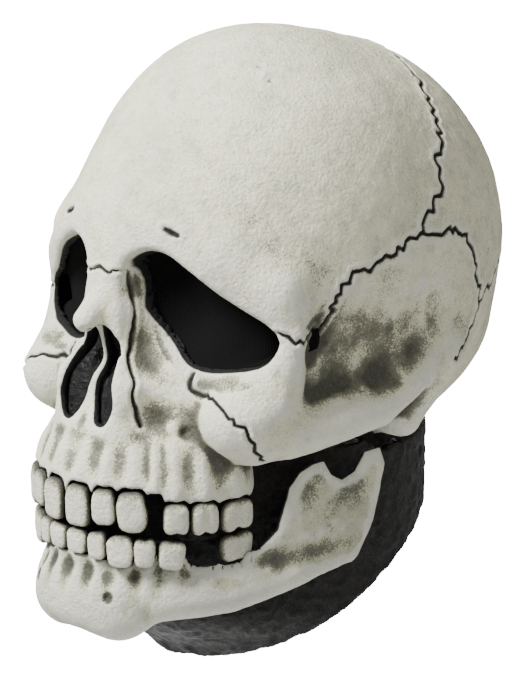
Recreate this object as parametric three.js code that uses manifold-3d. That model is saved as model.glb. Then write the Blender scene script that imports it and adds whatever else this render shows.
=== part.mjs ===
// Latex halloween mask: a full-head skull with a hinging jaw and a black neck skin.
// Millimetres. +X is the wearer's left, -Y the way the face looks, +Z up.
// The origin is the centre of the cranial vault, which is the centre of the wearer's head.
import * as THREE from 'three';
import Module from 'manifold-3d';
import { mergeVertices } from 'three/addons/utils/BufferGeometryUtils.js';

const wasm = await Module();
wasm.setup();

// ---------------------------------------------------------------- driving dimensions

const SKIN = 3.5; // thickness of the latex
const LAP_GAP = 1.2; // air between the bone skin and the black skin lapped inside it
const JAW_GAP = 9; // room behind the lower jaw, so that it can swing
const MESH_CLOTH = 0.9; // see-through cloth behind the eye holes
const EYE_BACK = 50; // the eye holes are cut through everything further forward than this
const ARCH_WIDTH = 56; // half width of the dental arch
const ARCH_DEPTH = 59; // front of the dental arch, ahead of ARCH_BACK
const ARCH_BACK = -72; // where the dental arch ends at the back
const TOOTH_DEPTH = 8; // a tooth, front to back
const SOCKET = 0.35; // air around a tooth in its socket
const UPPER_GUM = -88; // height of the upper gum line at the front
const HEM_HEIGHT = -149; // neck hem, at HEM_Y
const HEM_Y = 10;
const NECK_LOW = -196; // ends of the black skin before the hem is cut
const NECK_TOP = -67;
const HEM_SLOPE = 0.43; // the hem rises to the back by this much per millimetre

// Eye hole, seen from the front, as [distance from the middle, height].
const EYE = [
  [14, 10], [19, 15.5], [26, 16.5], [38, 11], [50, 1], [60, -7], [70, -14],
  [72, -21], [66, -29], [50, -32.5], [38, -32], [29, -26], [20, -16], [15, -4],
];
// One side of the nose hole, seen from the front.
const NOSE = [[3, -17], [8, -20], [12, -29], [15, -41], [16.5, -50], [13, -58], [7.5, -57.5], [3.2, -47], [1.8, -30]];
// Lower jaw seen from the side, as [y, z]: gum line, ramus with its notch, rear edge.
const JAW_SIDE = [
  [-160, -116], [-100, -117], [-76, -118.5], [-67, -117], [-60, -108], [-57, -97], [-55, -89], [-50, -82.5],
  [-43, -79.5], [-37, -79], [-33, -86], [-27, -89.5], [-20, -87], [-14, -79], [-4, -78.5], [-1, -87],
  [-4, -99], [-9, -119], [-16, -133], [-36, -152], [-60, -190], [-160, -190],
];
// What is cut away below the cranium, seen from the side: gum line, arch, mastoid, neck opening.
const BASE_SIDE = [
  [-170, UPPER_GUM], [-118, UPPER_GUM], [-66, -95], [-55, -87], [-47, -78.5], [-30, -77], [-12, -76], [-2, -71],
  [8, -69], [12, -76], [16, -88], [26, -90], [35, -79], [140, -74], [140, -230], [-170, -230],
];

// Crowns of the teeth: [name, centre from the middle along the arch, width, top, bottom, lean].
// The wearer's left side has lost an upper premolar and a lower molar.
const UPPER_TEETH = [
  ['central', 8.1, 12.0, -84.5, -103.3, 0], ['lateral', 22.4, 10.4, -84.5, -100.8, 0],
  ['canine', 36.0, 12.6, -85, -103.8, 5], ['premolar_1', 46.7, 7.0, -87, -103, 0],
  ['premolar_2', 56.7, 10.8, -90.5, -105, 0], ['molar_1', 70.6, 12.6, -91.5, -106.2, 0],
  ['molar_2', 88.4, 17.0, -93, -107, 0],
];
const LOWER_TEETH = [
  ['central', 6.3, 10.4, -105, -116.5, 0], ['lateral', 17.5, 8.0, -105.2, -117.5, 0],
  ['canine', 29.0, 11.4, -105.4, -120.5, 0], ['premolar_1', 40.6, 9.0, -106.2, -120, 0],
  ['premolar_2', 53.2, 11.4, -107.6, -121.5, -5], ['molar_1', 67.7, 13.6, -108, -121.5, 0],
  ['molar_2', 87.0, 17.4, -108.6, -121.2, 0],
];
const LOST = ['tooth_upper_left_premolar_1', 'tooth_lower_left_molar_1'];

const BONE = { color: 0xcfcdbd, roughness: 0.78, metalness: 0 };
const TOOTH = { color: 0xd2d0c0, roughness: 0.6, metalness: 0 };
const BLACK_SKIN = { color: 0x1c1b17, roughness: 0.5, metalness: 0 };
const CLOTH = { color: 0x050505, roughness: 1, metalness: 0 };

// ---------------------------------------------------------------- distance fields
// A field is negative inside its body and positive outside. p is [|x|, y, z].

function ellipsoid(p, centre, radii, tilt = 0) {
  const c = Math.cos(tilt);
  const s = Math.sin(tilt);
  const [x, y, z] = p.map((v, i) => v - centre[i]);
  const local = [x, y * c + z * s, z * c - y * s];
  const k0 = Math.hypot(...local.map((v, i) => v / radii[i]));
  const k1 = Math.hypot(...local.map((v, i) => v / radii[i] ** 2));
  return k0 * (k0 - 1) / Math.max(k1, 1e-6);
}

function bone(p, a, b, radiusA, radiusB) {
  const ab = b.map((v, i) => v - a[i]);
  const ap = p.map((v, i) => v - a[i]);
  const along = ab.reduce((sum, v, i) => sum + v * ap[i], 0) / ab.reduce((sum, v) => sum + v * v, 0);
  const t = THREE.MathUtils.clamp(along, 0, 1);
  return Math.hypot(...ap.map((v, i) => v - t * ab[i])) - THREE.MathUtils.lerp(radiusA, radiusB, t);
}

function ridge(p, points, radii) {
  const parts = points.slice(1).map((point, i) => bone(p, points[i], point, radii[i], radii[i + 1]));
  return Math.min(...parts);
}

function join(a, b, soft) {
  const h = Math.max(soft - Math.abs(a - b), 0) / soft;
  return Math.min(a, b) - h * h * soft / 4;
}

const common = (a, b, soft) => -join(-a, -b, soft);
const carve = (a, b, soft) => common(a, -b, soft);
const ramp = (v, from, to) => THREE.MathUtils.smoothstep(v, from, to);

function vaultField(p) {
  let d = ellipsoid(p, [0, 9.8, -0.6], [87.7, 117.2, 99.8], 0.087);
  d = join(d, ellipsoid(p, [0, -9, 42], [70.5, 58, 61.3]), 20);
  d = join(d, ellipsoid(p, [0, 30, 26], [60, 74, 66]), 12);
  return join(d, ellipsoid(p, [0, 36, -39], [71, 82, 49]), 14);
}

function browAndCheekField(p) {
  let d = ellipsoid(p, [0, -42, -24], [72, 46, 52]);
  d = join(d, ridge(p, [[0, -84, 14], [22, -82, 23], [46, -76, 16], [66, -62, 0]], [9, 9.5, 10, 9.5]), 16);
  d = join(d, ridge(p, [[66, -62, 0], [73, -60, -20], [68, -66, -44]], [10, 9, 12]), 9);
  d = join(d, ellipsoid(p, [59, -72, -54], [20, 24, 19]), 10);
  const arch = [
    [60, -74, -62], [70, -58, -62], [78, -36, -58], [81, -14, -56], [80, 2, -50], [78, 16, -44], [75, 27, -38],
  ];
  d = join(d, ridge(p, arch, [10, 12, 11, 10, 9.5, 9, 8]), 9);
  return join(d, ridge(p, [[17, -82, -22], [30, -77, -40], [48, -76, -47], [64, -70, -40]], [5, 6.5, 7.5, 8]), 8);
}

function noseField(p) {
  const bridge = ridge(p, [[0, -89, 10], [0, -115, -13]], [5.5, 5.5]);
  const sides = ridge(p, [[4, -88, 4], [8, -98, -18], [15, -104, -42], [16, -104, -58]], [6.5, 8, 10.5, 11]);
  return join(bridge, sides, 9);
}

// An elliptical cone that widens down to the gum line.
function maxillaField([x, y, z]) {
  const size = 0.97 - 0.2 * ramp(z, -88, -50) - 0.25 * ramp(z, -50, -20);
  const cone = (Math.hypot(x / ARCH_WIDTH, (y - ARCH_BACK) / ARCH_DEPTH) - size) * 55;
  return common(common(common(cone, z + 34, 16), y + 58, 10), UPPER_GUM - 16 - z, 6);
}

function skullField(p) {
  let d = join(vaultField(p), browAndCheekField(p), 14);
  d = join(d, noseField(p), 7);
  d = join(d, maxillaField(p), 9);
  d = carve(d, ellipsoid(p, [38, -113, -52], [13, 17, 14]), 9);
  d = carve(d, ridge(p, [[26, -99, 2], [38, -99, -11], [58, -93, -19]], [15, 19, 15]), 8);
  d = carve(d, ridge(p, [[30, -103, -20], [42, -102, -24]], [17, 17]), 8);
  d = carve(d, ellipsoid(p, [0, -121, -42], [8, 8, 17]), 4);
  d = carve(d, ridge(p, [[101, -39, -23], [103, -10, -29], [102, 16, -21]], [27, 24, 18]), 7);
  d = carve(d, ellipsoid(p, [146, -16, -2], [60, 44, 42]), 8);
  return join(d, ridge(p, [[66, 36, -44], [64, 22, -72]], [15, 9]), 10);
}

// The whole volume that the lower jaw wraps around, chin included.
function jawField(p) {
  const [x, y, z] = p;
  const step = 4.5 * ramp(z, -140, -115) * ramp(x, 15, 45) * ramp(-y, 50, 80);
  const furrow = 2.5 * Math.exp(-(((z + 122) / 7) ** 2));
  let d = ellipsoid([x, y, 0], [0, 5, 0], [76, 134, 1000]) + step + furrow;
  const border = -152 + 4 * ramp(y, -125, -95) + 14 * ramp(y, -95, -10);
  d = common(d, border - z, 14);
  d = join(d, ellipsoid(p, [0, -116.5, -139], [27, 15, 14]), 10);
  return join(d, ellipsoid(p, [17, -111, -147], [13, 13, 11]), 8);
}

// Throat and neck: an oval tube that fills the mouth behind the teeth and stays inside both bone skins.
function neckField(p) {
  const [x, y, z] = p;
  const chin = ramp(z, -182, -150);
  const tube = (Math.hypot(x / (60 + 3 * chin), (y - 10 + 14 * chin) / (76 + 14 * chin)) - 1) * 60;
  const mouth = (Math.hypot(x / 42.5, (y - ARCH_BACK) / 47) - 1) * 45;
  const bulge = common(mouth, Math.abs(z + 100) - 34, 16);
  const lap = 76 + 10 * ramp(y, -45, -5);
  const underSkull = skullField([x, y, Math.max(z, -74)]) + SKIN + LAP_GAP - 60 * ramp(-z, lap, lap + 20);
  const behindJaw = jawField([x, y, Math.max(z, -100)]) + SKIN + JAW_GAP - 60 * (1 - ramp(-z, 100, 114));
  return common(join(tube, bulge, 8), Math.max(underSkull, behindJaw), 3);
}

// ---------------------------------------------------------------- solids

function toSolid(geometry) {
  geometry.deleteAttribute('normal');
  geometry.deleteAttribute('uv');
  const merged = mergeVertices(geometry, 1e-4);
  const vertProperties = new Float32Array(merged.attributes.position.array);
  const triVerts = new Uint32Array(merged.index.array);
  return new wasm.Manifold(new wasm.Mesh({ numProp: 3, vertProperties, triVerts }));
}

function toMesh(name, solid, look) {
  const mesh = solid.getMesh();
  const geometry = new THREE.BufferGeometry();
  geometry.setAttribute('position', new THREE.BufferAttribute(new Float32Array(mesh.vertProperties), 3));
  geometry.setIndex(new THREE.BufferAttribute(new Uint32Array(mesh.triVerts), 1));
  geometry.computeVertexNormals();
  const node = new THREE.Mesh(geometry, new THREE.MeshStandardMaterial(look));
  node.name = name;
  return node;
}

// Distance from centre along direction to the outermost place where the field is -depth.
function reach(field, centre, direction, depth) {
  const at = (r) => {
    const p = direction.map((v, i) => centre[i] + v * r);
    return field([Math.abs(p[0]), p[1], p[2]]) + depth;
  };
  let outer = 190;
  while (outer > 4 && at(outer - 2) > 0) {
    outer -= 2;
  }
  let inner = outer - 2;
  for (let i = 0; i < 12; i += 1) {
    const middle = (inner + outer) / 2;
    if (at(middle) > 0) {
      outer = middle;
    } else {
      inner = middle;
    }
  }
  return inner;
}

// A sphere of even triangles, drawn towards the face, with its points moved out to the field.
function blob(field, centre, depths, detail, lean) {
  const sphere = mergeVertices(new THREE.IcosahedronGeometry(1, detail).deleteAttribute('normal').deleteAttribute('uv'));
  const position = sphere.attributes.position;
  const reached = [];
  for (let i = 0; i < position.count; i += 1) {
    const v = new THREE.Vector3().fromBufferAttribute(position, i).add(lean).normalize();
    let limit = Infinity;
    reached.push(depths.map((depth, k) => {
      const step = k > 0 ? depth - depths[k - 1] : 0;
      limit = Math.min(limit - step, reach(field, centre, v.toArray(), depth));
      return v.clone().multiplyScalar(limit).add(new THREE.Vector3(...centre));
    }));
  }
  return depths.map((_, k) => {
    const copy = sphere.clone();
    reached.forEach((points, i) => copy.attributes.position.setXYZ(i, points[k].x, points[k].y, points[k].z));
    return toSolid(copy);
  });
}

// A prism along X (both sides) from a side view outline given as [y, z].
function sidePrism(outline) {
  const shape = new THREE.Shape(outline.map(([y, z]) => new THREE.Vector2(y, z)));
  const geometry = new THREE.ExtrudeGeometry(shape, { depth: 240, bevelEnabled: false });
  geometry.translate(0, 0, -120);
  geometry.applyMatrix4(new THREE.Matrix4().makeBasis(
    new THREE.Vector3(0, 1, 0), new THREE.Vector3(0, 0, 1), new THREE.Vector3(1, 0, 0)));
  return toSolid(geometry);
}

// A prism along Y from a front view outline given as [x, z], on one side of the face.
function frontPrism(outline, side, back) {
  const points = outline.map(([x, z]) => new THREE.Vector2(side * x, z));
  const geometry = new THREE.ExtrudeGeometry(new THREE.Shape(points), { depth: 120, bevelEnabled: false });
  geometry.rotateX(Math.PI / 2);
  geometry.translate(0, back, 0);
  return toSolid(geometry);
}

function smoothOutline(outline, count) {
  const points = outline.map(([x, z]) => new THREE.Vector2(x, z));
  points.push(points[0].clone());
  const curve = new THREE.SplineCurve(points);
  return curve.getPoints(count).slice(0, -1).map((v) => [v.x, v.y]);
}

function grownOutline(outline, amount) {
  const middle = outline.reduce((sum, [x, z]) => [sum[0] + x / outline.length, sum[1] + z / outline.length], [0, 0]);
  return outline.map(([x, z]) => {
    const away = new THREE.Vector2(x - middle[0], z - middle[1]);
    away.setLength(away.length() + amount);
    return [middle[0] + away.x, middle[1] + away.y];
  });
}

// An upright oval column, for cuts.
function column(halfWidth, halfDepth, middleY, low, high) {
  const geometry = new THREE.CylinderGeometry(1, 1, high - low, 64);
  geometry.rotateX(Math.PI / 2);
  geometry.scale(halfWidth, halfDepth, 1);
  geometry.translate(0, middleY, (low + high) / 2);
  return toSolid(geometry);
}

// The biggest body of a cut, without the slivers beside it.
function largest(solid) {
  return solid.decompose().reduce((best, piece) => (piece.volume() > best.volume() ? piece : best));
}

// ---------------------------------------------------------------- teeth

// Place and outward direction on the dental arch at a distance from its middle.
function archPoint(distance, size) {
  const arc = new THREE.EllipseCurve(0, ARCH_BACK, ARCH_WIDTH * size, ARCH_DEPTH * size, -Math.PI / 2, 0);
  const share = Math.min(Math.abs(distance) / arc.getLength(), 1);
  const beyond = Math.max(Math.abs(distance) - arc.getLength(), 0);
  const point = arc.getPointAt(share);
  const along = arc.getTangentAt(share);
  const side = Math.sign(distance);
  return {
    x: side * (point.x + along.x * beyond),
    y: point.y + along.y * beyond,
    turn: side * Math.atan2(along.y, along.x),
  };
}

// A crown is a ball squared off towards a box, a little narrower at the neck.
function crown([, distance, width, top, bottom, lean], side, size, grow, neckUp) {
  const geometry = new THREE.SphereGeometry(1, 10, 6);
  const position = geometry.attributes.position;
  const square = (v) => Math.sign(v) * Math.abs(v) ** 0.62;
  const half = [width / 2 + grow, TOOTH_DEPTH / 2 + grow, (top - bottom) / 2 + grow];
  for (let i = 0; i < position.count; i += 1) {
    const [x, y, z] = [position.getX(i), position.getZ(i), position.getY(i)].map(square);
    const waist = 1 - 0.12 * Math.max(neckUp * z, 0);
    position.setXYZ(i, x * half[0] * waist, -y * half[1], z * half[2]);
  }
  const at = archPoint(side * distance, size);
  geometry.rotateY(THREE.MathUtils.degToRad(-side * lean));
  geometry.translate(0, TOOTH_DEPTH / 2, 0);
  geometry.rotateZ(at.turn);
  geometry.translate(at.x, at.y, (top + bottom) / 2);
  return toSolid(geometry);
}

function makeTeeth(jawName, table, size, neckUp) {
  const teeth = [];
  for (const [sideName, side] of [['left', 1], ['right', -1]]) {
    for (const tooth of table) {
      const name = `tooth_${jawName}_${sideName}_${tooth[0]}`;
      if (!LOST.includes(name)) {
        teeth.push({
          name,
          solid: crown(tooth, side, size, 0, neckUp),
          socket: crown(tooth, side, size, SOCKET, neckUp),
        });
      }
    }
  }
  return teeth;
}

// ---------------------------------------------------------------- the skins

const skullCentre = [0, -14, -14];
const faceLean = new THREE.Vector3(0, -0.58, -0.28);
const meshDepth = SKIN + 0.7;
const [skullOuter, skullInner, meshOuter, meshInner, noseInner] = blob(
  skullField, skullCentre, [0, SKIN, meshDepth, meshDepth + MESH_CLOTH, meshDepth + 2], 12, faceLean);
const eyeOutline = smoothOutline(EYE, 28);
const upperTeeth = makeTeeth('upper', UPPER_TEETH, 1.01, 1);
const lowerTeeth = makeTeeth('lower', LOWER_TEETH, 0.985, -1);
const cutSockets = (solid, teeth) => teeth.reduce((rest, tooth) => rest.subtract(tooth.socket), solid);

// Solid tube of the throat and neck, shrunk by depth and drawn out by over at each end.
function neckTube(depth, over) {
  const geometry = new THREE.CylinderGeometry(1, 1, 1, 52, 14);
  geometry.rotateX(Math.PI / 2);
  const position = geometry.attributes.position;
  for (let i = 0; i < position.count; i += 1) {
    const z = THREE.MathUtils.lerp(NECK_LOW, NECK_TOP, position.getZ(i) + 0.5);
    const flat = new THREE.Vector2(position.getX(i), position.getY(i));
    const spread = flat.length();
    const way = spread > 0.5 ? [flat.x / spread, flat.y / spread, 0] : [1, 0, 0];
    const r = spread > 0.5 ? reach(neckField, [0, -10, z], way, depth) : 0;
    position.setXYZ(i, way[0] * r, way[1] * r - 10, z + 2 * over * position.getZ(i));
  }
  return toSolid(geometry);
}

// The black skin: an open tube, cut straight along the slanted hem.
function makeNeck() {
  const hem = (y) => HEM_HEIGHT + HEM_SLOPE * (y - HEM_Y);
  const below = sidePrism([[-170, hem(-170)], [170, hem(170)], [170, -300], [-170, -300]]);
  return neckTube(0, 0).subtract(neckTube(SKIN, 4)).subtract(below);
}

function makeCranium() {
  let skin = skullOuter.subtract(skullInner).subtract(sidePrism(BASE_SIDE));
  for (const side of [1, -1]) {
    skin = skin.subtract(frontPrism(eyeOutline, side, -EYE_BACK));
    skin = skin.subtract(frontPrism(NOSE, side, -80));
  }
  return largest(cutSockets(skin.subtract(neckTube(-0.6, 0)), upperTeeth));
}

function makeMandible() {
  const [outer, inner] = blob(jawField, [0, -45, -108], [0, SKIN], 9, new THREE.Vector3(0, -0.2, -0.1));
  const skin = outer.subtract(inner).intersect(sidePrism(JAW_SIDE)).subtract(column(70, 123, 5, -200, -120));
  return cutSockets(skin, lowerTeeth);
}

// Cloth glued behind an eye hole, following the inside of the face.
function makeEyeCloth(side) {
  return largest(meshOuter.subtract(meshInner).intersect(frontPrism(grownOutline(eyeOutline, 4), side, -EYE_BACK)));
}

// Black pocket behind the nose hole.
function makeNoseLining() {
  const half = [[8, -12], [13, -32], [18, -50], [18, -63]];
  const outline = [...half, ...half.map(([x, z]) => [-x, z]).reverse()];
  return largest(meshOuter.subtract(noseInner).intersect(frontPrism(outline, 1, -80)));
}

const group = new THREE.Group();
group.name = 'skull_mask';
group.add(toMesh('cranium_skin', makeCranium(), BONE));
group.add(toMesh('mandible_skin', makeMandible(), BONE));
group.add(toMesh('neck_skin', makeNeck(), BLACK_SKIN));
group.add(toMesh('eye_mesh_left', makeEyeCloth(1), CLOTH));
group.add(toMesh('eye_mesh_right', makeEyeCloth(-1), CLOTH));
group.add(toMesh('nose_lining', makeNoseLining(), BLACK_SKIN));
for (const tooth of [...upperTeeth, ...lowerTeeth]) {
  group.add(toMesh(tooth.name, tooth.solid, TOOTH));
}

export default group;
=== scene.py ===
"""Latex halloween mask: the looks of a full-head skull mask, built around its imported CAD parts."""

import math

import bmesh
import bpy
import numpy as np
from mathutils import Matrix, Vector
from mathutils.kdtree import KDTree


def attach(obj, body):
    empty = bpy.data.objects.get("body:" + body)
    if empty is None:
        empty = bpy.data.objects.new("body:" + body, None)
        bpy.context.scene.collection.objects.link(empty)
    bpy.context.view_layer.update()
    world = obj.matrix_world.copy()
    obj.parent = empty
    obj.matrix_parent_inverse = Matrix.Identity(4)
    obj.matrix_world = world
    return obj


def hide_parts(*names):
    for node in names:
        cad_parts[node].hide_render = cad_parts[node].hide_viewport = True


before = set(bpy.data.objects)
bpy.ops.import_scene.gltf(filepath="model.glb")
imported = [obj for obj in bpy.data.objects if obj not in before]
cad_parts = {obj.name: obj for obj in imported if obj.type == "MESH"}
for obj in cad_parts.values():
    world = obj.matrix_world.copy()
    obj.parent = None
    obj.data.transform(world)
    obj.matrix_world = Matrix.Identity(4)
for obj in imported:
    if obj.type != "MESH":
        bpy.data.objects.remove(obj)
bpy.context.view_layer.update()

MM = 0.001
# Spacing of the sampling grid, millimetres. Each surface is refined once more.
GRID = 2.0

# ------------------------------------------------------------------ driving dimensions, millimetres
# +X is the wearer's left, -Y the way the face looks, +Z up, from the centre of the vault.

SKIN = 3.5  # thickness of the latex
LAP_GAP = 1.2  # air between the bone skin and the black skin lapped inside it
JAW_GAP = 9.0  # room behind the lower jaw, so that it can swing
EYE_BACK = 56.0  # the eye holes are cut through everything further forward than this
NOSE_BACK = 90.0  # and the nose hole likewise
RIM_REACH = 12  # distances to the rim of a hole are worked out this far from it
ARCH_WIDTH = 56.0  # half width of the dental arch
ARCH_DEPTH = 59.0  # front of the dental arch, ahead of ARCH_BACK
ARCH_BACK = -72.0  # where the dental arch ends at the back
TOOTH_DEPTH = 8.0  # a tooth, front to back
UPPER_GUM = -88.0
GUM_DROP = 2.5  # the painted gum comes down past UPPER_GUM by this much
HEM_HEIGHT = -149.0  # neck hem, at HEM_Y
HEM_Y = 10.0
HEM_SLOPE = 0.43  # the hem rises to the back by this much per millimetre
NECK_TOP = -67  # upper end of the black skin
FAR = 9.0  # stands for far away from every socket, line or crack

EYE = [(14, 10), (19, 15.5), (26, 16.5), (38, 11), (50, 1), (60, -7), (70, -14), (72, -21), (66, -29),
       (50, -32.5), (38, -32), (29, -26), (20, -16), (15, -4)]
NOSE = [(3, -17), (8, -20), (12, -29), (15, -41), (16.5, -50), (13, -58), (7.5, -57.5), (3.2, -47),
        (1.8, -30)]
JAW_SIDE = [(-160, -113.5), (-100, -114.5), (-76, -116.5), (-67, -117), (-60, -108), (-57, -97), (-55, -89),
            (-50, -82.5), (-43, -79.5), (-37, -79), (-33, -86), (-27, -89.5), (-20, -87), (-14, -79),
            (-4, -78.5), (-1, -87), (-4, -99), (-9, -119), (-16, -133), (-36, -152), (-60, -190),
            (-160, -190)]
BASE_SIDE = [(-170, UPPER_GUM - GUM_DROP), (-118, UPPER_GUM - GUM_DROP), (-66, -95), (-55, -87), (-47, -78.5),
             (-30, -77), (-12, -76), (-2, -71), (8, -69), (12, -76), (16, -88), (26, -90), (35, -79),
             (140, -74), (140, -230), (-170, -230)]

# name, centre from the middle along the arch, width, top, bottom, lean in degrees
UPPER_TEETH = [("central", 8.1, 12.0, -84.5, -103.3, 0), ("lateral", 22.4, 10.4, -84.5, -100.8, 0),
               ("canine", 36.0, 12.6, -85, -103.8, 5), ("premolar_1", 46.7, 7.0, -87, -103, 0),
               ("premolar_2", 56.7, 10.8, -90.5, -105, 0), ("molar_1", 70.6, 12.6, -91.5, -106.2, 0),
               ("molar_2", 88.4, 17.0, -93, -107, 0)]
LOWER_TEETH = [("central", 6.3, 10.4, -105, -116.5, 0), ("lateral", 17.5, 8.0, -105.2, -117.5, 0),
               ("canine", 29.0, 11.4, -105.4, -120.5, 0), ("premolar_1", 40.6, 9.0, -106.2, -120, 0),
               ("premolar_2", 53.2, 11.4, -107.6, -121.5, -5), ("molar_1", 67.7, 13.6, -108, -121.5, 0),
               ("molar_2", 87.0, 17.4, -108.6, -121.2, 0)]
UPPER_SIZE = 1.01  # scale of the arch that the upper teeth stand on
LOWER_SIZE = 0.985
SQUARE = 3.2  # how square a crown is: 2 is an ellipsoid
GUM_GAP = 0.7  # dark gap between a crown and the gum
LOST = ("tooth_upper_left_premolar_1", "tooth_lower_left_molar_1")

# ------------------------------------------------------------------ distance fields


def ellipsoid(p, centre, radii, tilt=0.0):
    q = p - np.float32(centre)
    if tilt:
        c, s = np.float32(math.cos(tilt)), np.float32(math.sin(tilt))
        q = np.stack([q[:, 0], q[:, 1] * c + q[:, 2] * s, q[:, 2] * c - q[:, 1] * s], -1)
    q = q / np.float32(radii)
    k0 = np.sqrt((q * q).sum(-1))
    k1 = np.sqrt(((q / np.float32(radii)) ** 2).sum(-1))
    return k0 * (k0 - 1) / np.maximum(k1, 1e-6)


def bone(p, a, b, radius_a, radius_b):
    a, b = np.float32(a), np.float32(b)
    t = np.clip((p - a) @ (b - a) / ((b - a) @ (b - a)), 0, 1)
    return np.sqrt(((p - a - t[:, None] * (b - a)) ** 2).sum(-1)) - (radius_a + (radius_b - radius_a) * t)


def ridge(p, points, radii):
    d = bone(p, points[0], points[1], radii[0], radii[1])
    for i in range(1, len(points) - 1):
        d = np.minimum(d, bone(p, points[i], points[i + 1], radii[i], radii[i + 1]))
    return d


def join(a, b, soft):
    h = np.maximum(soft - np.abs(a - b), 0) / soft
    return np.minimum(a, b) - h * h * soft / 4


def common(a, b, soft):
    return -join(-a, -b, soft)


def carve(a, b, soft):
    return common(a, -b, soft)


def ramp(v, low, high):
    t = np.clip((v - low) / (high - low), 0, 1)
    return t * t * (3 - 2 * t)


def outline_distance(u, v, outline):
    """Signed distance in a plane to a closed outline, negative inside."""
    best = np.full(u.shape, 1e9, np.float32)
    sign = np.ones(u.shape, np.float32)
    for (au, av), (bu, bv) in zip(outline, outline[-1:] + outline[:-1]):
        eu, ev = bu - au, bv - av
        wu, wv = u - au, v - av
        t = np.clip((wu * eu + wv * ev) / (eu * eu + ev * ev), 0, 1)
        best = np.minimum(best, (wu - eu * t) ** 2 + (wv - ev * t) ** 2)
        above, below, left = v >= av, v < bv, eu * wv > ev * wu
        crossed = (above & below & left) | (~above & ~below & ~left)
        sign = np.where(crossed, -sign, sign)
    return sign * np.sqrt(best)


def near_outline(u, v, outline, reach):
    """outline_distance close to the outline, and reach elsewhere."""
    us, vs = zip(*outline)
    near = (u > min(us) - reach) & (u < max(us) + reach) & (v > min(vs) - reach) & (v < max(vs) + reach)
    d = np.full(u.shape, reach, np.float32)
    d[near] = outline_distance(u[near], v[near], outline)
    return d


def rounded(outline, count):
    """A closed Catmull-Rom curve through the outline's points."""
    pts = np.array(outline, float)
    out = []
    for i in range(len(pts)):
        a, b, c, d = (pts[(i + k) % len(pts)] for k in (-1, 0, 1, 2))
        for j in range(count):
            t = j / count
            out.append(tuple(0.5 * (2 * b + (c - a) * t + (2 * a - 5 * b + 4 * c - d) * t * t
                                    + (3 * b - a - 3 * c + d) * t ** 3)))
    return out


def vault_field(p):
    d = ellipsoid(p, (0, 9.8, -0.6), (87.7, 117.2, 99.8), 0.087)
    d = join(d, ellipsoid(p, (0, -9, 42), (70.5, 58, 61.3)), 20)
    d = join(d, ellipsoid(p, (0, 30, 26), (60, 74, 66)), 12)
    return join(d, ellipsoid(p, (0, 36, -39), (71, 82, 49)), 14)


def cheek_field(p):
    d = ellipsoid(p, (0, -42, -24), (72, 46, 52))
    brow = [(0, -84, 14), (22, -82, 23), (46, -76, 16), (66, -62, 0)]
    d = join(d, ridge(p, brow, [9, 9.5, 10, 9.5]), 16)
    d = join(d, ridge(p, [(66, -62, 0), (73, -60, -20), (68, -66, -44)], [10, 9, 12]), 9)
    d = join(d, ellipsoid(p, (59, -72, -54), (20, 24, 19)), 10)
    arch = [(60, -74, -62), (70, -58, -62), (78, -36, -58), (81, -14, -56), (80, 2, -50), (78, 16, -44),
            (75, 27, -38)]
    d = join(d, ridge(p, arch, [10, 12, 11, 10, 9.5, 9, 8]), 9)
    lower_rim = [(17, -82, -22), (30, -77, -40), (48, -76, -47), (64, -70, -40)]
    return join(d, ridge(p, lower_rim, [5, 6.5, 7.5, 8]), 8)


def nose_field(p):
    bridge = ridge(p, [(0, -89, 10), (0, -115, -13)], [5.5, 5.5])
    sides = ridge(p, [(4, -88, 4), (8, -98, -18), (15, -104, -42), (16, -104, -58)], [6.5, 8, 10.5, 11])
    return join(bridge, sides, 9)


def maxilla_field(p):
    x, y, z = p.T
    size = 0.97 - 0.2 * ramp(z, -88, -50) - 0.25 * ramp(z, -50, -20)
    cone = (np.hypot(x / ARCH_WIDTH, (y - ARCH_BACK) / ARCH_DEPTH) - size) * 55
    return common(common(common(cone, z + 34, 16), y + 58, 10), UPPER_GUM - 16 - z, 6)


def skull_field(p):
    d = join(vault_field(p), cheek_field(p), 14)
    d = join(d, nose_field(p), 7)
    d = join(d, maxilla_field(p), 9)
    d = carve(d, ellipsoid(p, (38, -113, -52), (13, 17, 14)), 9)
    d = carve(d, ridge(p, [(26, -99, 2), (38, -99, -11), (58, -93, -19)], [15, 19, 15]), 8)
    d = carve(d, ridge(p, [(30, -103, -20), (42, -102, -24)], [17, 17]), 8)
    d = carve(d, ellipsoid(p, (0, -121, -42), (8, 8, 17)), 4)
    d = carve(d, ridge(p, [(101, -39, -23), (103, -10, -29), (102, 16, -21)], [27, 24, 18]), 7)
    d = carve(d, ellipsoid(p, (146, -16, -2), (60, 44, 42)), 8)
    return join(d, ridge(p, [(66, 36, -44), (64, 22, -72)], [15, 9]), 10)


def jaw_field(p):
    x, y, z = p.T
    step = 4.5 * ramp(z, -140, -115) * ramp(x, 15, 45) * ramp(-y, 50, 80)
    furrow = 2.5 * np.exp(-(((z + 122) / 7) ** 2))
    flat = np.stack([x, y, np.zeros_like(x)], -1)
    d = ellipsoid(flat, (0, 5, 0), (76, 134, 1000)) + step + furrow
    border = -152 + 4 * ramp(y, -125, -95) + 14 * ramp(y, -95, -10)
    d = common(d, border - z, 14)
    d = join(d, ellipsoid(p, (0, -116.5, -139), (27, 15, 14)), 10)
    return join(d, ellipsoid(p, (17, -111, -147), (13, 13, 11)), 8)


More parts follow.
